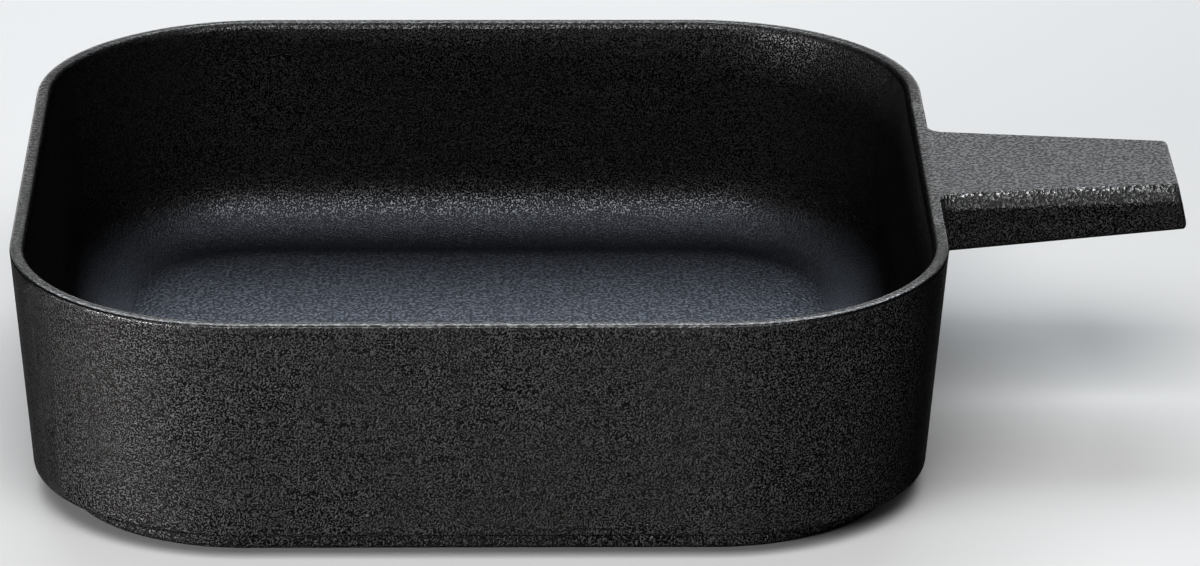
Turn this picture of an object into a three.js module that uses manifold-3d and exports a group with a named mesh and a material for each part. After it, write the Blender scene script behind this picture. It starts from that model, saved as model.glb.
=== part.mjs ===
// A square cast iron pan with a short handle, in millimetres, +Z up.
// The origin is the centre of the base's underside, and the handle points along +X.
// The pan is one casting. Flat planes divide it into four solids that touch face to face:
// the base plate with its stepped foot, the drafted side wall with its cove, the rim and the handle.

import * as THREE from "three";
import { mergeVertices } from "three/addons/utils/BufferGeometryUtils.js";
import Module from "manifold-3d";

// Vessel
const rimSize = 200; // outer width at the rim, across the flats
const panHeight = 54.5; // underside to rim
const cornerRadius = 50.5; // outer corner at the rim, seen from above
const wallDraft = 4.8; // degrees that the wall leans outwards
const wallThickness = 3.6; // measured level
const rimBand = 3.25; // height of the rim above the side wall
const rimEdgeRadius = 0.9; // rounding of the rim's two edges
const coveRadius = 15; // inside, from the floor up to the wall
const stepEdgeRadius = 1; // rounding of the wall's lower outer edge

// Base
const footHeight = 5.5; // height of the step, and thickness of the base plate
const footInset = 6.75; // foot's side, in from the wall's lower edge
const footEdgeRadius = 1.2; // rounding of the edge that the pan stands on

// Handle, measured from the rim's outer face
const handleReach = 52.4; // to the end of its top face
const handleRootWidth = 41.2; // top face at the rim
const handleTipWidth = 28.4; // top face at the end
const handleRootDepth = 12.7; // top face to underside at the rim
const handleTipDepth = 9.7; // top face to underside at the end
const chamferRoot = 3.1; // along the two long top edges, at the rim
const chamferTip = 3.5; // the same, at the end
const sideFlare = 2; // degrees that each side spreads below its chamfer
const endFlare = 12; // degrees that the end face leans outwards, going down
const endCornerRadius = 1.2; // upright corners of the end, seen from above
const undersideRadius = 1.8; // rounding between the underside and the sides
const rootFillet = 3.5; // blend between the handle and the wall
const handleSeam = 4.5; // where the handle's solid meets the wall's solid

// Facets in a quarter turn
const cornerSteps = 16;
const coveSteps = 10;
const edgeSteps = 3;
const handleSteps = 4;

const wasm = await Module();
wasm.setup();

const draftSlope = Math.tan(THREE.MathUtils.degToRad(wallDraft));
const sideSlope = Math.tan(THREE.MathUtils.degToRad(sideFlare));
const endSlope = Math.tan(THREE.MathUtils.degToRad(endFlare));
const quarter = Math.PI / 2;

// How far the wall's outer face lies inside the rim's outline at height z.
function wallInset(z) {
  return (panHeight - z) * draftSlope;
}

// Points of a quarter circle, from angle start, turning by sweep.
function arc(centreX, centreY, radius, start, sweep, steps) {
  const points = [];
  for (let step = 0; step <= steps; step++) {
    const angle = start + (sweep * step) / steps;
    points.push(
      new THREE.Vector2(
        centreX + radius * Math.cos(angle),
        centreY + radius * Math.sin(angle),
      ),
    );
  }
  return points;
}

// The arc that rounds the corner between two straight edges.
function roundCorner(before, corner, after, radius, steps) {
  const back = before.clone().sub(corner).normalize();
  const ahead = after.clone().sub(corner).normalize();
  const half = back.angleTo(ahead) / 2;
  const middle = back.clone().add(ahead).normalize();
  const centre = corner.clone().addScaledVector(middle, radius / Math.sin(half));
  const turn = Math.PI - 2 * half;
  const start = Math.atan2(-middle.y, -middle.x) - turn / 2;
  return arc(centre.x, centre.y, radius, start, turn, steps);
}

// The rim's outline moved in by an inset, at height z, counter-clockwise from above.
function squareLoop(inset, z) {
  const centre = rimSize / 2 - cornerRadius;
  const loop = [];
  for (let corner = 0; corner < 4; corner++) {
    const right = corner === 0 || corner === 3 ? 1 : -1;
    const back = corner < 2 ? 1 : -1;
    const radius = cornerRadius - inset;
    const points = arc(
      right * centre,
      back * centre,
      radius,
      corner * quarter,
      quarter,
      cornerSteps,
    );
    loop.push(...points.map((point) => new THREE.Vector3(point.x, point.y, z)));
  }
  return loop;
}

// A closed surface through loops of equal length. A ring joins its last loop to its first,
// and otherwise flat fans close the two ends, which are convex.
function loft(loops, ring = false) {
  const count = loops[0].length;
  const last = loops.length - 1;
  const faces = [];
  for (let band = 0; band < (ring ? loops.length : last); band++) {
    const low = band * count;
    const high = ((band + 1) % loops.length) * count;
    for (let i = 0; i < count; i++) {
      const next = (i + 1) % count;
      faces.push(low + i, low + next, high + next);
      faces.push(low + i, high + next, high + i);
    }
  }
  for (let i = 1; i < count - 1 && !ring; i++) {
    faces.push(0, i + 1, i);
    faces.push(last * count, last * count + i, last * count + i + 1);
  }
  const geometry = new THREE.BufferGeometry().setFromPoints(loops.flat());
  geometry.setIndex(faces);
  return geometry;
}

// Between the solids of the boolean library and the geometries of the scene.
function solidOf(geometry) {
  const bare = new THREE.BufferGeometry();
  bare.setAttribute("position", geometry.getAttribute("position"));
  bare.setIndex(geometry.getIndex());
  const merged = mergeVertices(bare);
  const mesh = new wasm.Mesh({
    numProp: 3,
    vertProperties: merged.getAttribute("position").array,
    triVerts: new Uint32Array(merged.getIndex().array),
  });
  return new wasm.Manifold(mesh);
}

function geometryOf(solid) {
  const mesh = solid.getMesh();
  const geometry = new THREE.BufferGeometry();
  geometry.setAttribute("position", new THREE.BufferAttribute(mesh.vertProperties, 3));
  geometry.setIndex(new THREE.BufferAttribute(mesh.triVerts, 1));
  return geometry;
}

function makePiece(name, geometry, material) {
  geometry.computeVertexNormals();
  const piece = new THREE.Mesh(geometry, material);
  piece.name = name;
  return piece;
}

// Finishes: as cast and seasoned, and the same iron ground smooth along the rim
const castSkin = new THREE.MeshStandardMaterial({
  color: 0x28282a,
  roughness: 0.5,
  metalness: 0.8,
});
const groundRim = new THREE.MeshStandardMaterial({
  color: 0x373737,
  roughness: 0.35,
  metalness: 0.8,
});

// Base plate: the foot below the step, and the flat cooking floor on top of it
function makeBasePlate() {
  const inset = wallInset(footHeight) + footInset;
  const edge = arc(
    inset + footEdgeRadius,
    footEdgeRadius,
    footEdgeRadius,
    -quarter,
    -quarter,
    edgeSteps,
  );
  const profile = [...edge, new THREE.Vector2(inset, footHeight)];
  const loops = profile.map((point) => squareLoop(point.x, point.y));
  return makePiece("base_plate", loft(loops), castSkin);
}

// The wall's section, as inset and height: up the outer face, over the rim, down the inner face
// and round the cove to the floor, then out along the underside of the step
function wallProfile() {
  const draft = Math.atan(draftSlope);
  const outerFoot = wallInset(footHeight);
  const innerFoot = outerFoot + wallThickness;
  // A rounding between a level face and the leaning wall turns by a quarter turn plus or minus the draft
  const sharpTurn = quarter + draft;
  const bluntTurn = quarter - draft;
  const sharpSet = rimEdgeRadius / Math.tan((Math.PI - sharpTurn) / 2);
  const bluntSet = rimEdgeRadius / Math.tan((Math.PI - bluntTurn) / 2);
  const stepSet = stepEdgeRadius / Math.tan((Math.PI - bluntTurn) / 2);
  const coveSet = coveRadius / Math.tan((Math.PI - bluntTurn) / 2);
  return [
    ...arc(
      outerFoot + stepSet,
      footHeight + stepEdgeRadius,
      stepEdgeRadius,
      -quarter,
      -bluntTurn,
      edgeSteps,
    ),
    ...arc(
      sharpSet,
      panHeight - rimEdgeRadius,
      rimEdgeRadius,
      Math.PI + draft,
      -sharpTurn,
      edgeSteps,
    ),
    ...arc(
      wallThickness - bluntSet,
      panHeight - rimEdgeRadius,
      rimEdgeRadius,
      quarter,
      -bluntTurn,
      edgeSteps,
    ),
    ...arc(
      innerFoot + coveSet,
      footHeight + coveRadius,
      coveRadius,
      Math.PI + draft,
      bluntTurn,
      coveSteps,
    ),
  ];
}

// The handle's section at a distance along it, as levels from the top face down. Each level has its
// half width and its depth, and how far the end leans out there. Spread widens it all round.
function handleLevels(along, spread = 0) {
  const share = along / handleReach;
  const top = THREE.MathUtils.lerp(handleRootWidth, handleTipWidth, share) / 2;
  const chamfer = THREE.MathUtils.lerp(chamferRoot, chamferTip, share);
  const depth = THREE.MathUtils.lerp(handleRootDepth, handleTipDepth, share);
  const side = top + chamfer + (depth - chamfer) * sideSlope;
  const levels = [
    { halfWidth: top + spread, depth: 0, lean: 0 },
    { halfWidth: top + chamfer + spread, depth: chamfer, lean: chamfer * endSlope },
  ];
  const edge = arc(
    side - undersideRadius,
    depth - undersideRadius,
    undersideRadius + spread,
    0,
    quarter,
    handleSteps,
  );
  for (const point of edge) {
    const insetAtEdge = side + spread - point.x;
    const lean = (depth - undersideRadius) * endSlope - insetAtEdge;
    levels.push({ halfWidth: point.x, depth: point.y, lean });
  }
  return levels;
}

// The handle beyond its root: loops from the underside up, each the outline of one level
function makeHandle() {
  const root = handleLevels(handleSeam);
  const tip = handleLevels(handleReach);
  const loops = root.map((level, i) => {
    const end = handleReach + tip[i].lean;
    const rootFront = new THREE.Vector2(handleSeam, -level.halfWidth);
    const tipFront = new THREE.Vector2(end, -tip[i].halfWidth);
    const tipBack = new THREE.Vector2(end, tip[i].halfWidth);
    const rootBack = new THREE.Vector2(handleSeam, level.halfWidth);
    const outline = [
      rootFront,
      ...roundCorner(rootFront, tipFront, tipBack, endCornerRadius, handleSteps),
      ...roundCorner(tipFront, tipBack, rootBack, endCornerRadius, handleSteps),
      rootBack,
    ];
    const fall = (tip[i].depth - level.depth) / (end - handleSeam);
    return outline.map((point) => {
      const depth = level.depth + fall * (point.x - handleSeam);
      return new THREE.Vector3(point.x, point.y, -depth);
    });
  });
  const handle = makePiece("handle", loft(loops.reverse()), castSkin);
  handle.position.set(rimSize / 2, 0, panHeight);
  return handle;
}

// One section of the handle's root, counter-clockwise from the handle's end. It stands a distance
// clear of the leaning wall, or of the level plane of the seam where that is given.
function rootSection(clear, spread, seam) {
  const front = [];
  for (const level of handleLevels(seam ?? clear, spread)) {
    const x = seam ?? clear - level.depth * draftSlope;
    front.push(new THREE.Vector3(x, -level.halfWidth, -level.depth));
  }
  const mirror = (point) => new THREE.Vector3(point.x, -point.y, point.z);
  return [...front, ...front.map(mirror).reverse()];
}

// The root that joins the handle to the wall: from inside the wall, through the fillet, to the seam
function makeHandleRoot() {
  const sections = [rootSection(-wallThickness / 2, rootFillet)];
  for (let step = 0; step <= handleSteps; step++) {
    const turn = (quarter * step) / handleSteps;
    const clear = rootFillet * (1 - Math.cos(turn));
    const spread = rootFillet * (1 - Math.sin(turn));
    sections.push(rootSection(clear, spread));
  }
  sections.push(rootSection(0, 0, handleSeam));
  return loft(sections).translate(rimSize / 2, 0, panHeight);
}

// The wall with the handle's root, divided level into the side wall and the rim
function makeWallAndRim() {
  const loops = wallProfile().map((point) => squareLoop(point.x, point.y));
  const shell = solidOf(loft(loops, true)).add(solidOf(makeHandleRoot()));
  const space = 2 * (rimSize + handleReach);
  const upper = new THREE.BoxGeometry(space, space, space);
  upper.translate(0, 0, panHeight - rimBand + space / 2);
  const upperSpace = solidOf(upper);
  return [
    makePiece("side_wall", geometryOf(shell.subtract(upperSpace)), castSkin),
    makePiece("rim", geometryOf(shell.intersect(upperSpace)), groundRim),
  ];
}

const vessel = new THREE.Group();
vessel.add(makeBasePlate(), ...makeWallAndRim());

const pan = new THREE.Group();
pan.add(vessel, makeHandle());

export default pan;
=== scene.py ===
"""The looks of the square cast iron pan: its fine meshes, its finish, the light and the camera."""

import math
from collections import namedtuple

import bmesh
import bpy
from mathutils import Matrix, Vector


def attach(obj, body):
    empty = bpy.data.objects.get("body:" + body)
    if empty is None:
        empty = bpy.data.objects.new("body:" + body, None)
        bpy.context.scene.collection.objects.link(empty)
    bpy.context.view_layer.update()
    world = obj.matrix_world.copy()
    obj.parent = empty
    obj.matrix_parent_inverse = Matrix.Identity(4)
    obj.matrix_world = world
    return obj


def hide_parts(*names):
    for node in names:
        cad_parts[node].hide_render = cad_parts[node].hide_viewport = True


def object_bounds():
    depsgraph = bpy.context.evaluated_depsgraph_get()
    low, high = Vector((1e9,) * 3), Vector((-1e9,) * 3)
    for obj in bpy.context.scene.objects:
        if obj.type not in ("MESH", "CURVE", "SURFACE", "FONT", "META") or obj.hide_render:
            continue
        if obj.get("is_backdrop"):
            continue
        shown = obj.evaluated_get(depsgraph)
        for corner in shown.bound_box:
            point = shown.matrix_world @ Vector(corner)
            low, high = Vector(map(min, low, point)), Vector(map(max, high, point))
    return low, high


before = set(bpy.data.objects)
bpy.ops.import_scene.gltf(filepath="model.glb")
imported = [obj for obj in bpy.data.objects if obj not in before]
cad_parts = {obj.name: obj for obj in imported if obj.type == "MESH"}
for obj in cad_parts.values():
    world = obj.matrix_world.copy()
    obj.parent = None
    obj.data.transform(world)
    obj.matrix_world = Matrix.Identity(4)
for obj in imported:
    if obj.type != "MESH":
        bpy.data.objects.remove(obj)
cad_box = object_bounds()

MM = 0.001

# Sizes of the casting in millimetres, the same as the CAD model's
RIM_SIZE = 200.0
HEIGHT = 54.5
CORNER_RADIUS = 50.5
WALL_DRAFT = math.radians(4.8)
WALL_THICKNESS = 3.6
RIM_BAND = 3.25
RIM_INNER_RADIUS = 0.9
COVE_RADIUS = 15.0
STEP_EDGE_RADIUS = 1.0
FOOT_HEIGHT = 5.5
FOOT_INSET = 6.75
FOOT_EDGE_RADIUS = 1.2
HANDLE_REACH = 52.4
HANDLE_ROOT_WIDTH = 41.2
HANDLE_TIP_WIDTH = 28.4
HANDLE_ROOT_DEPTH = 12.7
HANDLE_TIP_DEPTH = 9.7
CHAMFER_ROOT = 3.1
CHAMFER_TIP = 3.5
SIDE_FLARE = math.radians(2.0)
END_FLARE = math.radians(12.0)
END_RADIUS = 1.2
HANDLE_LOW_RADIUS = 1.8
ROOT_FILLET = 3.5
HANDLE_SEAM = 4.5

# Roundings that only the fine meshes have, and the crown of the rim's top, in millimetres
TOP_EDGE_RADIUS = 0.9
CHAMFER_EDGE_RADIUS = 1.0
END_TOP_RADIUS = 0.7
RIM_OUTER_RADIUS = 0.5
RIM_CREST = 1.54
RIM_CROWN = 3.3
RIM_FALL_FADE = 3.0

# Beside the handle the crown and the rim's finish set in between these distances from its middle line
CROWN_STARTS = 28.0
CROWN_IS_FULL = 42.0

# Facets, and the rows down the handle's chamfer and side as shares of the way
CORNER_STEPS = 24
SIDE_STEPS = 12
BESIDE_STEPS = 6
EDGE_STEPS = 5
COVE_STEPS = 20
RIM_STEPS = 6
OUTER_WALL_STEPS = 9
INNER_WALL_STEPS = 12
FILLET_STEPS = 10
HANDLE_STEPS = 14
END_STEPS = 6
CHAMFER_EDGE_STEPS = 3
HANDLE_LOW_STEPS = 6
HANDLE_UNDER_STEPS = 5
ROWS_BELOW_ROOT = 4
CHAMFER_ROWS = (0.45, 0.65, 0.85)
SIDE_ROWS = (0.12, 0.4, 0.7, 0.92)

# Edges that turn by more than this angle stay sharp. Points this near to a cut, in metres, lie on it
SHARP_ANGLE = math.radians(40)
CUT_TOLERANCE = 1e-7

# Where a cubic curve that follows a quarter circle has its handles
ROUND_PULL = 0.5523

# The finish of a place: how rough its grain is, how far it is rubbed smooth and lighter, which on the rim's
# top is real grinding and on the rim's edge and the handle partly painted highlight, how much of the cooking
# floor's lighter bluish colour it has, which is painted reflection of the bluish back light, and how much of
# its grain is coarse
Finish = namedtuple("Finish", "grain polish floor_tone coarse")
PLAIN = Finish(grain=1.0, polish=0.0, floor_tone=0.0, coarse=0.0)
OUTER_WALL = PLAIN._replace(grain=0.6)
COVE = PLAIN._replace(grain=0.45)
UNDERSIDE = PLAIN._replace(grain=0.5)
# The rim's top is really ground; the rubbed, lighter colour on the rim's edge and on the handle's top, edge
# and chamfer is partly painted highlight
RIM_EDGE = Finish(grain=0.3, polish=0.12, floor_tone=0.0, coarse=0.0)
RIM_TOP = Finish(grain=0.2, polish=0.55, floor_tone=0.0, coarse=1.0)
# The handle's top takes part of the cooking floor's lighter bluish colour, as painted reflection of the
# light it catches
HANDLE_TOP = Finish(grain=2.2, polish=0.45, floor_tone=0.4, coarse=1.0)
HANDLE_EDGE = Finish(grain=1.6, polish=1.0, floor_tone=0.0, coarse=1.0)
HANDLE_CHAMFER = Finish(grain=1.4, polish=0.5, floor_tone=0.0, coarse=0.5)
COOKING_FLOOR = Finish(grain=0.9, polish=0.0, floor_tone=1.0, coarse=1.0)

# Where a finish sets in and where it is full, in millimetres below the rim's top, inside its outline or
# above the cooking floor
RIM_TOP_DEPTHS = (0.22, 0.02)
RIM_TOP_INSETS = (2.9, 2.2)
RIM_EDGE_DEPTHS = (1.1, 0.5)
COVE_RISES = (18.0, 6.0)
BLUISH_REFLECTION_RISES = (10.0, 0.0)

# Rows of the base as insets from the rim's outline. The cooking floor's grain grows from the cove inwards
UNDERSIDE_ROWS = (48.0, 30.0)
FLOOR_ROWS = ((17.0, 0.45), (22.0, 0.5), (27.0, 0.9), (40.0, 0.9), (48.0, 0.9))

# The skin of the iron. Scales are for metres, colours are linear, and a pair goes from pits to grains: the
# pits are darkened as painted shade and the grain tops lightened as painted glints, over the real grain of
# the sand
FINE_SCALE = 2900
COARSE_SCALE = 1300
DRIFT_SCALE = 40
SPECK_SCALE = 260
GRAIN_EDGES = (0.36, 0.64)
GLINT_EDGES = (0.4, 0.95)
GRAIN_DEPTH = 0.00018
WALL_SHADE_AND_GLINT_COLOURS = ((0.003, 0.003, 0.003, 1), (0.064, 0.064, 0.065, 1))
BLUISH_REFLECTION_COLOURS = ((0.06, 0.067, 0.083, 1), (0.22, 0.243, 0.295, 1))
RUBBED_AND_HIGHLIGHT_COLOURS = ((0.07, 0.07, 0.07, 1), (0.25, 0.25, 0.25, 1))
DRIFT_COLOUR = (0.020, 0.018, 0.017, 1)
SPECK_COLOUR = (0.16, 0.16, 0.155, 1)
WALL_GRAZING_TINT = (0.1, 0.1, 0.1, 1)
WHITE = (1, 1, 1, 1)
BLUISH_REFLECTION_SHARE = 0.65
RUBBED_AND_HIGHLIGHT_SHARE = 0.8
SPECK_SHARE = 0.4
DRIFT_SHARE = 0.35
DRIFT_EDGES = (0.3, 0.7)
SPECK_CHOICE = 0.8
SPECK_EDGES = (0.06, 0.12)
ROUGHNESS = (0.36, 0.21)
ROUGHNESS_OF_DRIFT = 0.06
ROUGHNESS_OF_GRAIN = 0.18
SMOOTHNESS_OF_POLISH = 0.30

# The camera, fitted to the pan's outline in the photo, in millimetres, and how far it sees, in metres
CAMERA_AZIMUTH = math.radians(-1.123)
CAMERA_ELEVATION = math.radians(20.651)
CAMERA_ROLL = math.radians(0.319)
CAMERA_TARGET = (26.585, 0.0, 26.207)
CAMERA_DISTANCE = 1519.8
CAMERA_LENS = 206.2
CAMERA_SENSOR = 36.0
CAMERA_SEES_TO = 50.0

# The stage, in metres
STAGE_REACH = 4.0
STAGE_GAP = 0.0001
STAGE_COLOUR = (0.70, 0.70, 0.70, 1)
STAGE_ROUGHNESS = 0.9
WORLD_LEVEL = 0.05

# The draft as a slope, the turn of a rounding from a level face into the wall, the angle of the handle's
# chamfer, and how far a corner's centre is from the middle of the pan
DRAFT_SLOPE = math.tan(WALL_DRAFT)
WALL_TURN = math.pi / 2 - WALL_DRAFT
CHAMFER_ANGLE = math.pi / 4
CENTRE = RIM_SIZE / 2 - CORNER_RADIUS


def mix(a, b, share):
    return a + (b - a) * share


def smooth_step(low, high, value):
    share = min(max((value - low) / (high - low), 0.0), 1.0)
    return share * share * (3 - 2 * share)


def wall_inset(z):
    """How far the wall's outer face lies inside the rim's outline at height z."""
    return (HEIGHT - z) * DRAFT_SLOPE


def handle_section(along, spread=0.0):
    """Half of the handle's section at a distance from the rim, from the top face's edge down and under.

    Each point is (half width, depth). The first list goes down the side as far as the middle of the lower
    rounding, and the second goes on along the underside to its middle line. Spread widens the section.
    """
    share = along / HANDLE_REACH
    top = mix(HANDLE_ROOT_WIDTH, HANDLE_TIP_WIDTH, share) / 2
    chamfer = mix(CHAMFER_ROOT, CHAMFER_TIP, share)
    full_depth = mix(HANDLE_ROOT_DEPTH, HANDLE_TIP_DEPTH, share)
    side = top + chamfer + (full_depth - chamfer) * math.tan(SIDE_FLARE)

    down = []
    top_set = TOP_EDGE_RADIUS * math.tan(CHAMFER_ANGLE / 2)
    for step in range(EDGE_STEPS + 1):
        angle = CHAMFER_ANGLE * step / EDGE_STEPS
        x = top - top_set + TOP_EDGE_RADIUS * math.sin(angle)
        down.append((x + spread, TOP_EDGE_RADIUS * (1 - math.cos(angle))))

    turn = CHAMFER_ANGLE - SIDE_FLARE
    edge_set = CHAMFER_EDGE_RADIUS * math.tan(turn / 2)
    edge_start = chamfer - edge_set * math.sqrt(0.5)
    for share_down in CHAMFER_ROWS:
        depth = mix(down[EDGE_STEPS][1], edge_start, share_down)
        down.append((top + depth + spread, depth))

    centre_x = top + edge_start - CHAMFER_EDGE_RADIUS * math.sqrt(0.5)
    centre_depth = edge_start + CHAMFER_EDGE_RADIUS * math.sqrt(0.5)
    for step in range(CHAMFER_EDGE_STEPS + 1):
        angle = CHAMFER_ANGLE - turn * step / CHAMFER_EDGE_STEPS
        x = centre_x + CHAMFER_EDGE_RADIUS * math.cos(angle)
        down.append((x + spread, centre_depth - CHAMFER_EDGE_RADIUS * math.sin(angle)))

    low_x = side - HANDLE_LOW_RADIUS
    low_depth = full_depth - HANDLE_LOW_RADIUS
    start_x, start_depth = down[-1]
    for share_down in SIDE_ROWS:
        x = mix(start_x, side + spread, share_down)
        down.append((x, mix(start_depth, low_depth, share_down)))

    under = []
    for step in range(HANDLE_LOW_STEPS + 1):
        angle = math.pi / 2 * step / HANDLE_LOW_STEPS
        x = low_x + (HANDLE_LOW_RADIUS + spread) * math.cos(angle)
        depth = low_depth + (HANDLE_LOW_RADIUS + spread) * math.sin(angle)
        half = down if step <= HANDLE_LOW_STEPS // 2 else under
        half.append((x, depth))
    edge_x, edge_depth = under[-1]
    for step in range(1, HANDLE_UNDER_STEPS + 1):
        under.append((edge_x * (1 - step / HANDLE_UNDER_STEPS), edge_depth))
    return down, under


DOWN_COUNT = len(handle_section(0)[0])
ACROSS_STEPS = 2 * len(handle_section(0)[1])
FIRST_CHAMFER_EDGE = EDGE_STEPS + len(CHAMFER_ROWS) + 1
LAST_CHAMFER_EDGE = FIRST_CHAMFER_EDGE + CHAMFER_EDGE_STEPS
FIRST_LOW = LAST_CHAMFER_EDGE + len(SIDE_ROWS) + 1


def section_loop(front, under):
    """A closed loop round a handle section: down the front, under to the back, up, and across the top."""
    back = [Vector((point.x, -point.y, point.z)) for point in front]
    under_back = [Vector((point.x, -point.y, point.z)) for point in under[-2::-1]]
    top = [back[0].lerp(front[0], step / ACROSS_STEPS) for step in range(1, ACROSS_STEPS)]
    return front + under + under_back + back[::-1] + top


def handle_point(along, half_width, depth):
    """A point of the handle's front half, relative to the rim's outline and top."""
    return Vector((along, -half_width, -depth))


def rim_rounding(step):
    """A point of the rim's outer rounding, from the flat top (step 0) to the wall, as (inset, depth)."""
    turn = math.pi / 2 + WALL_DRAFT
    angle = turn * step / EDGE_STEPS
    edge_set = RIM_OUTER_RADIUS * math.tan(turn / 2)
    inset = edge_set - RIM_OUTER_RADIUS * math.sin(angle)
    return inset, RIM_OUTER_RADIUS * (1 - math.cos(angle))


def rim_fall(inset, z, x, y):
    """How far the rim's crowned top falls away from its crest, fading out down the wall.

    Beside the handle the outer half of the rim stays level, so that the handle's top runs on flush.
    """
    across = min(inset, WALL_THICKNESS) - RIM_CREST
    fall = across * across / (2 * RIM_CROWN) * smooth_step(RIM_FALL_FADE, 0.0, HEIGHT - z)
    if across < 0 and x > CENTRE:
        fall *= smooth_step(CROWN_STARTS, CROWN_IS_FULL, abs(y))
    return fall


def root_start():
    """Where the root fillet starts on the wall and the rim, relative to the rim's outline and top."""
    down, under = handle_section(0, ROOT_FILLET)
    front = []
    for index, (half_width, depth) in enumerate(down):
        inset = depth * DRAFT_SLOPE
        if index <= EDGE_STEPS:
            inset, depth = rim_rounding(index)
            half_width = HANDLE_ROOT_WIDTH / 2 + ROOT_FILLET + depth
        front.append(handle_point(-inset, half_width, depth))
    low = [handle_point(-depth * DRAFT_SLOPE, half_width, depth) for half_width, depth in under]
    return front, low


ROOT_FRONT, ROOT_LOW = root_start()


def root_point(start, corner, handle_end, on_rim, share):
    """A point of the root fillet, at a share of a cubic curve that starts along the wall or the rim and ends
    along the handle."""
    half_width, depth = corner
    end_width, end_depth = handle_end
    if on_rim:
        wall_corner = Vector((start.x, -half_width, start.z))
        end_corner = handle_point(start.x, end_width, end_depth)
    else:
        wall_corner = handle_point(-depth * DRAFT_SLOPE, half_width, depth)
        end_corner = handle_point(-end_depth * DRAFT_SLOPE, end_width, end_depth)
    end = handle_point(ROOT_FILLET - end_depth * DRAFT_SLOPE, end_width, end_depth)
    near = start.lerp(wall_corner, ROUND_PULL)
    far = end.lerp(end_corner, ROUND_PULL)
    rest = 1 - share
    early = start * rest**3 + near * (3 * share * rest**2)
    return early + far * (3 * share * share * rest) + end * share**3


def root_loops():
    """The fillet from the wall to the handle, one loop per step."""
    corners = handle_section(0)
    ends = handle_section(ROOT_FILLET)
    loops = []
    for step in range(1, FILLET_STEPS + 1):
        share = step / FILLET_STEPS
        halves = []
        for part, starts in enumerate((ROOT_FRONT, ROOT_LOW)):
            half = []
            for index, start in enumerate(starts):
                on_rim = part == 0 and index <= EDGE_STEPS
                half.append(root_point(start, corners[part][index], ends[part][index], on_rim, share))
            halves.append(half)
        loops.append(section_loop(*halves))
    return loops


def end_shift(index, under, half_width, inset, drop):
    """How a section's point moves in and down where the handle's end is rounded."""
    if under:
        return -inset * half_width / (HANDLE_TIP_WIDTH / 2), -inset
    top = (drop - math.sqrt(2) * inset, drop)
    edge = (-inset, (math.sqrt(2) - 1) * inset)
    low = (-inset, -inset)
    if index <= EDGE_STEPS:
        return top
    if index < FIRST_CHAMFER_EDGE:
        share = (index - EDGE_STEPS) / (FIRST_CHAMFER_EDGE - EDGE_STEPS)
        return mix(top[0], edge[0], share), mix(top[1], edge[1], share)
    if index <= LAST_CHAMFER_EDGE:
        return edge
    if index < FIRST_LOW:
        share = (index - LAST_CHAMFER_EDGE) / (FIRST_LOW - LAST_CHAMFER_EDGE)
        return mix(edge[0], low[0], share), mix(edge[1], low[1], share)
    return low


def handle_loops():
    """Loops along the handle, from the end of the root fillet to the end face."""
    root = handle_section(ROOT_FILLET)
    tip = handle_section(HANDLE_REACH)
    stations = [(step / HANDLE_STEPS, 0.0) for step in range(1, HANDLE_STEPS + 1)]
    stations += [(1.0, math.pi / 2 * step / END_STEPS) for step in range(1, END_STEPS + 1)]
    loops = []
    for share, angle in stations:
        inset = END_RADIUS * (1 - math.cos(angle))
        drop = END_TOP_RADIUS * (1 - math.cos(angle))
        halves = []
        for part, points in enumerate(handle_section(mix(ROOT_FILLET, HANDLE_REACH, share))):
            half = []
            for index, (half_width, depth) in enumerate(points):
                start = ROOT_FILLET - root[part][index][1] * DRAFT_SLOPE
                stop = HANDLE_REACH - END_RADIUS + tip[part][index][1] * math.tan(END_FLARE)
                move_in, move_down = end_shift(index, part == 1, half_width, inset, drop)
                lean = move_down * math.tan(END_FLARE)
                reach = mix(start, stop, share) + END_RADIUS * math.sin(angle) + lean
                half.append(handle_point(reach, half_width + move_in, depth + move_down))
            halves.append(half)
        loops.append(section_loop(*halves))
    return loops


def section_arc(centre_inset, centre_z, radius, start, turn, steps):
    """Points (inset, height) along an arc of the wall's or the foot's section, through the angle turn."""
    points = []
    for step in range(steps + 1):
        angle = start + turn * step / steps
        points.append((centre_inset + radius * math.cos(angle), centre_z + radius * math.sin(angle)))
    return points


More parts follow.
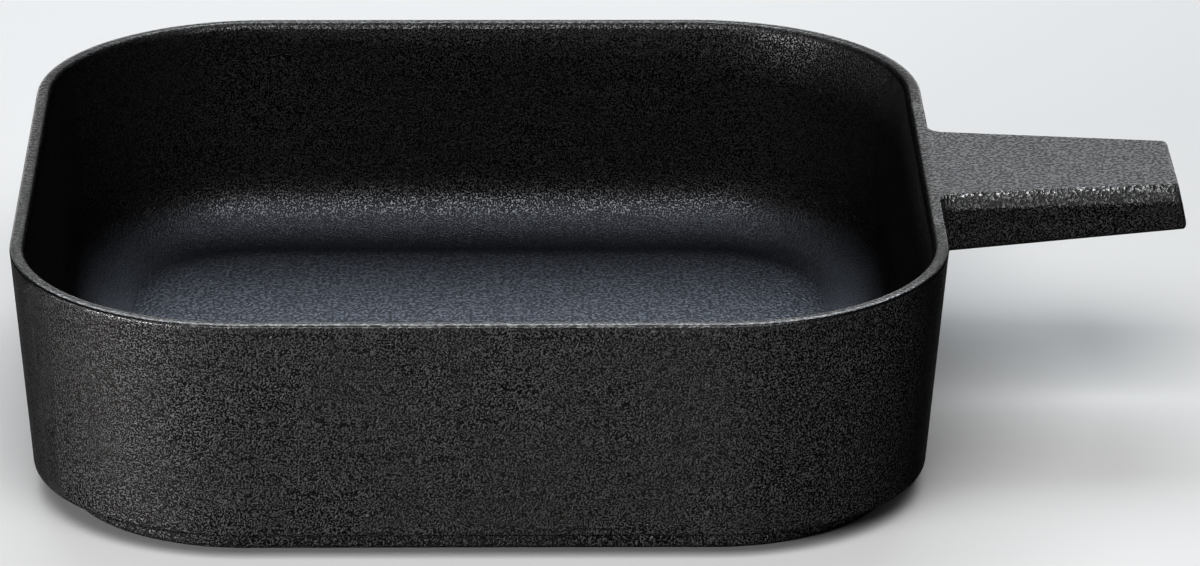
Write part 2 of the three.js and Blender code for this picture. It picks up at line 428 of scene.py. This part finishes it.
def ring_rows():
    """The wall's section as rows of (inset, height), and the indices of the root's lowest and highest row.

    The rows go up the outer face, over the rim, down the inner face, round the cove and back underneath.
    """
    foot = wall_inset(FOOT_HEIGHT)
    step_set = STEP_EDGE_RADIUS * math.tan(WALL_TURN / 2)
    step_z = FOOT_HEIGHT + STEP_EDGE_RADIUS
    rows = section_arc(foot + step_set, step_z, STEP_EDGE_RADIUS, -math.pi / 2, -WALL_TURN, EDGE_STEPS)

    low_z = rows[-1][1]
    root_z = HEIGHT + ROOT_FRONT[-1].z
    for step in range(1, OUTER_WALL_STEPS):
        z = mix(low_z, root_z, step / OUTER_WALL_STEPS)
        rows.append((wall_inset(z), z))
    first_row = len(rows)
    rows += [(-point.x, HEIGHT + point.z) for point in reversed(ROOT_FRONT)]
    top_row = len(rows) - 1

    rim_flat = rows[-1][0]
    inner_flat = WALL_THICKNESS - RIM_INNER_RADIUS * math.tan(WALL_TURN / 2)
    rows += [(mix(rim_flat, inner_flat, step / RIM_STEPS), HEIGHT) for step in range(1, RIM_STEPS)]
    edge_z = HEIGHT - RIM_INNER_RADIUS
    rows += section_arc(inner_flat, edge_z, RIM_INNER_RADIUS, math.pi / 2, -WALL_TURN, EDGE_STEPS)

    inner_top = rows[-1][1]
    cove_inset = foot + WALL_THICKNESS + COVE_RADIUS * math.tan(WALL_TURN / 2)
    cove_z = FOOT_HEIGHT + COVE_RADIUS
    cove_top = cove_z - COVE_RADIUS * math.sin(WALL_DRAFT)
    for step in range(1, INNER_WALL_STEPS):
        z = mix(inner_top, cove_top, step / INNER_WALL_STEPS)
        rows.append((wall_inset(z) + WALL_THICKNESS, z))
    rows += section_arc(cove_inset, cove_z, COVE_RADIUS, math.pi + WALL_DRAFT, WALL_TURN, COVE_STEPS)
    rows.append((mix(cove_inset, foot + step_set, 0.5), FOOT_HEIGHT))
    return rows, first_row, top_row


def corner_arc(corner, inset):
    """The points (x, y) of one round corner. Corners count from the right back one, round by the left."""
    right = 1 if corner in (0, 3) else -1
    back = 1 if corner < 2 else -1
    radius = CORNER_RADIUS - inset
    points = []
    for step in range(CORNER_STEPS + 1):
        angle = (corner + step / CORNER_STEPS) * math.pi / 2
        x = right * CENTRE + radius * math.cos(angle)
        y = back * CENTRE + radius * math.sin(angle)
        points.append((x, y))
    return points


def flat_side(corner, inset):
    """The points (x, y) of the flat side that follows a corner."""
    turn = corner * math.pi / 2
    out = RIM_SIZE / 2 - inset
    points = []
    for step in range(1, SIDE_STEPS):
        slide = mix(CENTRE, -CENTRE, step / SIDE_STEPS)
        x = slide * math.cos(turn) - out * math.sin(turn)
        y = slide * math.sin(turn) + out * math.cos(turn)
        points.append((x, y))
    return points


def right_side(place, low):
    """The points of one row along the flat right side, from front to back, as (y, height change).

    Place is the row's index down the handle's root. Low says how far a row below the root bends round it.
    """
    if low is None:
        edge = ROOT_FRONT[place].y
        inner = [(mix(edge, -edge, step / ACROSS_STEPS), 0.0) for step in range(ACROSS_STEPS + 1)]
    else:
        lowest = ROOT_FRONT[-1]
        half = [(point.y, (point.z - lowest.z) * low) for point in [lowest] + ROOT_LOW]
        inner = half + [(-y, change) for y, change in half[-2::-1]]
    beside = [mix(-CENTRE, inner[0][0], step / BESIDE_STEPS) for step in range(1, BESIDE_STEPS)]
    return [(y, 0.0) for y in beside] + inner + [(-y, 0.0) for y in reversed(beside)]


def rim_and_wall_finish(inset, z, x, y, inside):
    """The finish of a place on the wall or the rim. Beside the handle the rim has the handle's own."""
    by_handle = smooth_step(CROWN_IS_FULL, CROWN_STARTS, abs(y)) if x > CENTRE else 0.0
    depth = HEIGHT - z
    rise = z - FOOT_HEIGHT
    top = smooth_step(*RIM_TOP_DEPTHS, depth) * smooth_step(*RIM_TOP_INSETS, inset)
    edge = smooth_step(*RIM_EDGE_DEPTHS, depth)
    if inside:
        grain = mix(PLAIN.grain, COVE.grain, smooth_step(*COVE_RISES, rise))
        # Painted reflection: the cove's foot gets the cooking floor's lighter bluish colour
        floor_tone = COOKING_FLOOR.floor_tone * smooth_step(*BLUISH_REFLECTION_RISES, rise)
    else:
        grain = OUTER_WALL.grain
        # Painted reflection on the rim's top beside the handle, as on the handle's top
        floor_tone = HANDLE_TOP.floor_tone * by_handle * top
    grain = mix(mix(grain, RIM_EDGE.grain, edge), RIM_TOP.grain, top)
    polish = mix(RIM_EDGE.polish * edge, RIM_TOP.polish, top)
    return Finish(
        grain=mix(grain, HANDLE_TOP.grain, by_handle * top),
        polish=mix(polish, HANDLE_TOP.polish * top, by_handle),
        floor_tone=floor_tone,
        coarse=RIM_TOP.coarse * top,
    )


def handle_finish(index):
    """The finish at an index of a handle loop, which is the same on its front and its back half."""
    place = min(index, 2 * (DOWN_COUNT - 1) + ACROSS_STEPS - index)
    if place <= 0:
        return HANDLE_TOP
    if place <= EDGE_STEPS:
        return HANDLE_EDGE
    if place < FIRST_CHAMFER_EDGE:
        return HANDLE_CHAMFER
    return PLAIN


def new_mesh():
    """An empty mesh, and a function that adds a vertex, in millimetres, with its finish."""
    bm = bmesh.new()
    layers = [bm.verts.layers.float.new(name) for name in Finish._fields]

    def add(x, y, z, finish=PLAIN):
        vert = bm.verts.new((x * MM, y * MM, z * MM))
        for layer, value in zip(layers, finish):
            vert[layer] = value
        return vert

    return bm, add


def wall_line(add, row, inside, place, low, gap):
    """The vertices of one row round the wall. In the gap that the handle's root fills there is none."""
    inset, z = row
    outline = []
    for corner in range(4):
        outline += corner_arc(corner, inset)
        if corner < 3:
            outline += flat_side(corner, inset)
    line = []
    for x, y in outline:
        finish = rim_and_wall_finish(inset, z, x, y, inside)
        line.append(add(x, y, z - rim_fall(inset, z, x, y), finish))
    for y, change in right_side(place, low):
        if len(line) in gap:
            line.append(None)
            continue
        height = z - rim_fall(inset, z, RIM_SIZE / 2, y) + change
        x = RIM_SIZE / 2 - (inset if change == 0 else wall_inset(height))
        line.append(add(x, y, height, rim_and_wall_finish(inset, z, x, y, inside)))
    return line


def build_casting():
    """One closed mesh of the wall, the rim and the handle, in metres."""
    bm, add = new_mesh()
    rows, first_row, top_row = ring_rows()
    gap_from = 4 * (CORNER_STEPS + 1) + 3 * (SIDE_STEPS - 1) + BESIDE_STEPS - 1
    gap_to = gap_from + ACROSS_STEPS

    grid = []
    for index, row in enumerate(rows):
        low = smooth_step(first_row - ROWS_BELOW_ROOT, first_row, index) if index <= first_row else None
        place = max(top_row - index, 0)
        gap = range(gap_from + 1, gap_to) if first_row < index < top_row else ()
        grid.append(wall_line(add, row, index > top_row, place, low, gap))

    # Faces between each row and the next, apart from the gap
    columns = len(grid[0])
    for index, line in enumerate(grid):
        above = grid[(index + 1) % len(grid)]
        for column in range(columns):
            beside = (column + 1) % columns
            if first_row <= index < top_row and gap_from <= column < gap_to:
                continue
            bm.faces.new((line[column], line[beside], above[beside], above[column]))

    # The handle grows loop by loop from the edge of the gap
    loop = [grid[top_row - place][gap_from] for place in range(DOWN_COUNT)]
    loop += grid[first_row][gap_from + 1 : gap_to]
    loop += [grid[first_row + place][gap_to] for place in range(DOWN_COUNT)]
    loop += grid[top_row][gap_to - 1 : gap_from : -1]
    for points in root_loops() + handle_loops():
        new_loop = []
        for index, point in enumerate(points):
            new_loop.append(add(RIM_SIZE / 2 + point.x, point.y, HEIGHT + point.z, handle_finish(index)))
        join_loops(bm, loop, new_loop)
        loop = new_loop
    close_end(bm, loop, add)
    bm.normal_update()
    return bm


def join_loops(bm, loop, next_loop):
    """Faces between two closed loops of vertices."""
    for index in range(len(loop)):
        beside = (index + 1) % len(loop)
        bm.faces.new((loop[index], loop[beside], next_loop[beside], next_loop[index]))


def close_end(bm, loop, add):
    """A grid over the handle's end face, inside its last loop."""
    last = DOWN_COUNT - 1
    front = loop[:DOWN_COUNT]
    bottom = loop[last : last + ACROSS_STEPS + 1]
    back = loop[last + ACROSS_STEPS : 2 * last + ACROSS_STEPS + 1][::-1]
    top = [front[0]] + loop[2 * last + ACROSS_STEPS + 1 :][::-1] + [back[0]]
    grid = [top]
    for row in range(1, last):
        down = row / last
        line = [front[row]]
        for column in range(1, ACROSS_STEPS):
            across = column / ACROSS_STEPS
            sides = front[row].co.lerp(back[row].co, across) + top[column].co.lerp(bottom[column].co, down)
            high = front[0].co.lerp(back[0].co, across)
            low = front[-1].co.lerp(back[-1].co, across)
            point = (sides - high.lerp(low, down)) / MM
            line.append(add(point.x, point.y, point.z))
        line.append(back[row])
        grid.append(line)
    grid.append(bottom)
    for line, below in zip(grid, grid[1:]):
        for column in range(ACROSS_STEPS):
            bm.faces.new((line[column], below[column], below[column + 1], line[column + 1]))


def cut_away(bm, point, normal):
    """Removes what lies behind a plane and closes the cut."""
    everything = bm.verts[:] + bm.edges[:] + bm.faces[:]
    cut = bmesh.ops.bisect_plane(
        bm, geom=everything, dist=CUT_TOLERANCE, plane_co=point, plane_no=normal, clear_inner=True
    )
    edges = [item for item in cut["geom_cut"] if isinstance(item, bmesh.types.BMEdge)]
    bmesh.ops.triangle_fill(bm, use_beauty=True, edges=edges, normal=-Vector(normal))


def build_base():
    """The base plate: a slab with a rounded lower edge, closed above by the cooking floor."""
    bm, add = new_mesh()
    side = wall_inset(FOOT_HEIGHT) + FOOT_INSET
    edge = side + FOOT_EDGE_RADIUS
    quarter = -math.pi / 2
    foot = section_arc(edge, FOOT_EDGE_RADIUS, FOOT_EDGE_RADIUS, quarter, quarter, EDGE_STEPS)
    profile = [(inset, 0.0, UNDERSIDE) for inset in UNDERSIDE_ROWS]
    profile += [(inset, z, PLAIN) for inset, z in foot + [(side, FOOT_HEIGHT)]]
    profile += [(inset, FOOT_HEIGHT, COOKING_FLOOR._replace(grain=grain)) for inset, grain in FLOOR_ROWS]
    loops = []
    for inset, z, finish in profile:
        outline = [point for corner in range(4) for point in corner_arc(corner, inset)]
        loops.append([add(x, y, z, finish) for x, y in outline])
    for low, high in zip(loops, loops[1:]):
        join_loops(bm, low, high)
    bm.faces.new(loops[0][::-1])
    bm.faces.new(loops[-1])
    return bm


def make_piece(name, bm, slot, *nodes):
    """A piece with its own cast iron material, in place of the CAD nodes that are named."""
    mesh = bpy.data.meshes.new(name)
    bm.to_mesh(mesh)
    bm.free()
    mesh.shade_smooth()
    mesh.set_sharp_from_angle(angle=SHARP_ANGLE)
    mesh.materials.append(cast_iron("seasoned_" + name))
    piece = bpy.data.objects.new(name, mesh)
    bpy.context.scene.collection.objects.link(piece)
    weighted = piece.modifiers.new("even_flats", "WEIGHTED_NORMAL")
    weighted.keep_sharp = True
    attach(piece, "root")
    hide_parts(*nodes)


def make_pieces():
    """The casting, cut where the CAD model's nodes meet, and the base plate."""
    handle = build_casting()
    seam = (RIM_SIZE / 2 + HANDLE_SEAM) * MM
    band = (HEIGHT - RIM_BAND) * MM
    rim = handle.copy()
    cut_away(rim, (seam, 0, 0), (-1, 0, 0))
    wall = rim.copy()
    cut_away(rim, (0, 0, band), (0, 0, 1))
    cut_away(wall, (0, 0, band), (0, 0, -1))
    cut_away(handle, (seam, 0, 0), (1, 0, 0))
    make_piece("pan_rim", rim, "rim_iron", "rim")
    make_piece("pan_wall", wall, "cast_skin", "side_wall")
    make_piece("pan_handle", handle, "cast_skin", "handle")
    make_piece("pan_base", build_base(), "floor_iron", "base_plate")


def cast_iron(name):
    """Seasoned cast iron: flat-topped grains with pits between them, as sand leaves them. The pits are
    darkened as painted shade and the grain tops lightened as painted glints.

    The finish of each place comes from the mesh. The pebbled wall shines little at grazing angles, because
    its grains hide each other there, and the floor, the handle's top and the rim shine as plain iron does.
    """
    material = bpy.data.materials.new(name)
    material.use_nodes = True
    nodes = material.node_tree.nodes
    links = material.node_tree.links
    shader = nodes["Principled BSDF"]
    shader.inputs["Metallic"].default_value = 1.0
    place = nodes.new("ShaderNodeTexCoord").outputs["Object"]

    def noise(scale, detail):
        node = nodes.new("ShaderNodeTexNoise")
        node.inputs["Scale"].default_value = scale
        node.inputs["Detail"].default_value = detail
        links.new(place, node.inputs["Vector"])
        return node.outputs["Fac"]

    def attribute(label):
        node = nodes.new("ShaderNodeAttribute")
        node.attribute_name = label
        return node.outputs["Fac"]

    def fill(sockets, values):
        for socket, value in zip(sockets, values):
            if isinstance(value, bpy.types.NodeSocket):
                links.new(value, socket)
            else:
                socket.default_value = value

    def combine(operation, a, b):
        node = nodes.new("ShaderNodeMath")
        node.operation = operation
        fill(node.inputs, (a, b))
        return node.outputs["Value"]

    def stretch(value, low, high, start=0.0, stop=1.0):
        node = nodes.new("ShaderNodeMapRange")
        node.interpolation_type = "SMOOTHSTEP"
        fill(node.inputs, (value, low, high, start, stop))
        return node.outputs["Result"]

    def blend(share, a, b):
        # A Mix node takes its two colours at inputs 6 and 7 and gives the colour at output 2
        node = nodes.new("ShaderNodeMix")
        node.data_type = "RGBA"
        fill((node.inputs[0], node.inputs[6], node.inputs[7]), (share, a, b))
        return node.outputs[2]

    grain, polish, floor_tone, coarse = [attribute(label) for label in Finish._fields]
    some_grain = combine("MINIMUM", grain, 1.0)
    drift = noise(DRIFT_SCALE, 2.0)
    fine = stretch(noise(FINE_SCALE, 1.0), *GRAIN_EDGES)
    big = stretch(noise(COARSE_SCALE, 1.0), *GRAIN_EDGES)
    pebble = combine("ADD", fine, combine("MULTIPLY", coarse, combine("SUBTRACT", big, fine)))

    bump = nodes.new("ShaderNodeBump")
    bump.inputs["Distance"].default_value = GRAIN_DEPTH
    links.new(combine("MULTIPLY", pebble, grain), bump.inputs["Height"])
    links.new(bump.outputs["Normal"], shader.inputs["Normal"])

    cells = nodes.new("ShaderNodeTexVoronoi")
    cells.inputs["Scale"].default_value = SPECK_SCALE
    links.new(place, cells.inputs["Vector"])
    chosen = combine("GREATER_THAN", cells.outputs["Color"], SPECK_CHOICE)
    specks = combine("MULTIPLY", chosen, stretch(cells.outputs["Distance"], *SPECK_EDGES, 1.0, 0.0))

    # Painted shade in the pits and painted glints on the grain tops: the colour follows the grains' height
    glints = stretch(pebble, *GLINT_EDGES)
    soft_glints = combine("MULTIPLY", glints, some_grain)
    skin = blend(glints, *WALL_SHADE_AND_GLINT_COLOURS)
    skin = blend(stretch(drift, *DRIFT_EDGES, 0.0, DRIFT_SHARE), skin, DRIFT_COLOUR)
    # Painted reflection: a lighter bluish colour on the cooking floor, the cove's foot and the handle's top,
    # for the bluish back light they reflect
    skin = blend(combine("MULTIPLY", floor_tone, BLUISH_REFLECTION_SHARE), skin, blend(soft_glints, *BLUISH_REFLECTION_COLOURS))
    # Rubbed colour: the rim's real grinding, and partly painted highlight on the rim's edge and the handle's
    # top, edge and chamfer
    skin = blend(combine("MULTIPLY", polish, RUBBED_AND_HIGHLIGHT_SHARE), skin, blend(soft_glints, *RUBBED_AND_HIGHLIGHT_COLOURS))
    skin = blend(combine("MULTIPLY", specks, SPECK_SHARE), skin, SPECK_COLOUR)
    links.new(skin, shader.inputs["Base Color"])

    open_skin = combine("MAXIMUM", coarse, floor_tone)
    links.new(blend(open_skin, WALL_GRAZING_TINT, WHITE), shader.inputs["Specular Tint"])

    rough = stretch(pebble, 0.0, 1.0, *ROUGHNESS)
    rough = combine("ADD", rough, combine("MULTIPLY", drift, ROUGHNESS_OF_DRIFT))
    rough = combine("ADD", rough, combine("MULTIPLY", some_grain, ROUGHNESS_OF_GRAIN))
    rough = combine("SUBTRACT", rough, combine("MULTIPLY", polish, SMOOTHNESS_OF_POLISH))
    links.new(rough, shader.inputs["Roughness"])
    return material


def make_camera():
    """The photo's camera, with the small roll that it has."""
    camera = bpy.data.cameras.new("camera")
    camera.sensor_fit = "HORIZONTAL"
    camera.sensor_width = CAMERA_SENSOR
    camera.lens = CAMERA_LENS
    camera.clip_end = CAMERA_SEES_TO
    seat = bpy.data.objects.new("camera", camera)
    bpy.context.scene.collection.objects.link(seat)
    target = Vector(CAMERA_TARGET) * MM
    back = Vector(
        (
            math.sin(CAMERA_AZIMUTH) * math.cos(CAMERA_ELEVATION),
            -math.cos(CAMERA_AZIMUTH) * math.cos(CAMERA_ELEVATION),
            math.sin(CAMERA_ELEVATION),
        )
    )
    right = Vector((math.cos(CAMERA_AZIMUTH), math.sin(CAMERA_AZIMUTH), 0.0))
    up = back.cross(right)
    turned_right = right * math.cos(CAMERA_ROLL) + up * math.sin(CAMERA_ROLL)
    turned_up = up * math.cos(CAMERA_ROLL) - right * math.sin(CAMERA_ROLL)
    turn = Matrix((turned_right, turned_up, back)).transposed()
    seat.matrix_world = Matrix.Translation(target + back * CAMERA_DISTANCE * MM) @ turn.to_4x4()
    bpy.context.scene.camera = seat


def make_light(name, place, aim, width, height, level, colour=(1, 1, 1)):
    """A soft rectangular lamp. Level is how bright its face is, where 1 is white."""
    lamp = bpy.data.lights.new(name, "AREA")
    lamp.shape = "RECTANGLE"
    lamp.size = width
    lamp.size_y = height
    lamp.energy = level * math.pi * width * height
    lamp.color = colour
    lamp_object = bpy.data.objects.new(name, lamp)
    bpy.context.scene.collection.objects.link(lamp_object)
    lamp_object.location = place
    direction = Vector(aim) - Vector(place)
    lamp_object.rotation_euler = direction.to_track_quat("-Z", "Y").to_euler()


def make_lights():
    """A low lamp that grazes the left corner, softboxes in front and behind, and panels for the rim, the
    handle's top and the lower cove to reflect."""
    make_light(
        "left_softbox",
        place=(-1.085, -0.705, 0.066),
        aim=(-0.04, 0.0, 0.03),
        width=0.66,
        height=0.126,
        level=170.0,
    )
    make_light(
        "front_softbox",
        place=(0.0, -0.55, 0.80),
        aim=(0.0, 0.0, 0.0),
        width=0.80,
        height=0.50,
        level=6.1,
    )
    make_light(
        "top_panel",
        place=(0.0, 0.0, 1.0),
        aim=(0.0, 0.0, 0.0),
        width=0.9,
        height=0.7,
        level=0.4,
    )
    make_light(
        "back_softbox",
        place=(0.0, 0.62, 0.74),
        aim=(0.0, 0.0, 0.0),
        width=0.8,
        height=0.45,
        level=5.3,
        colour=(0.91, 0.96, 1.0),
    )
    make_light(
        "back_panel",
        place=(0.0, 1.35, 0.45),
        aim=(0.0, 0.0, 0.05),
        width=2.4,
        height=0.90,
        level=0.3,
    )
    make_light(
        "back_strip",
        place=(0.0, 1.3, 0.08),
        aim=(0.0, 0.0, 0.05),
        width=1.8,
        height=0.16,
        level=2.0,
    )


def make_stage():
    """A pale floor a hair below the base, and a dim grey world."""
    bm = bmesh.new()
    bmesh.ops.create_grid(bm, x_segments=1, y_segments=1, size=STAGE_REACH)
    mesh = bpy.data.meshes.new("floor")
    bm.to_mesh(mesh)
    bm.free()
    floor = bpy.data.objects.new("floor", mesh)
    bpy.context.scene.collection.objects.link(floor)
    floor.location.z = -STAGE_GAP
    material = bpy.data.materials.new("pale_floor")
    material.use_nodes = True
    shader = material.node_tree.nodes["Principled BSDF"]
    shader.inputs["Base Color"].default_value = STAGE_COLOUR
    shader.inputs["Roughness"].default_value = STAGE_ROUGHNESS
    shader.inputs["Specular IOR Level"].default_value = 0.0
    mesh.materials.append(material)
    floor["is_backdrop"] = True

    world = bpy.data.worlds.new("studio")
    bpy.context.scene.world = world
    world.use_nodes = True
    background = world.node_tree.nodes["Background"]
    background.inputs["Color"].default_value = WHITE
    background.inputs["Strength"].default_value = WORLD_LEVEL


make_camera()
make_stage()
make_pieces()
make_lights()
bpy.context.scene.view_settings.view_transform = "Standard"

boxes = {"cad": cad_box, "visual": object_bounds()}
{key: [list(corner) for corner in box] for key, box in boxes.items()}
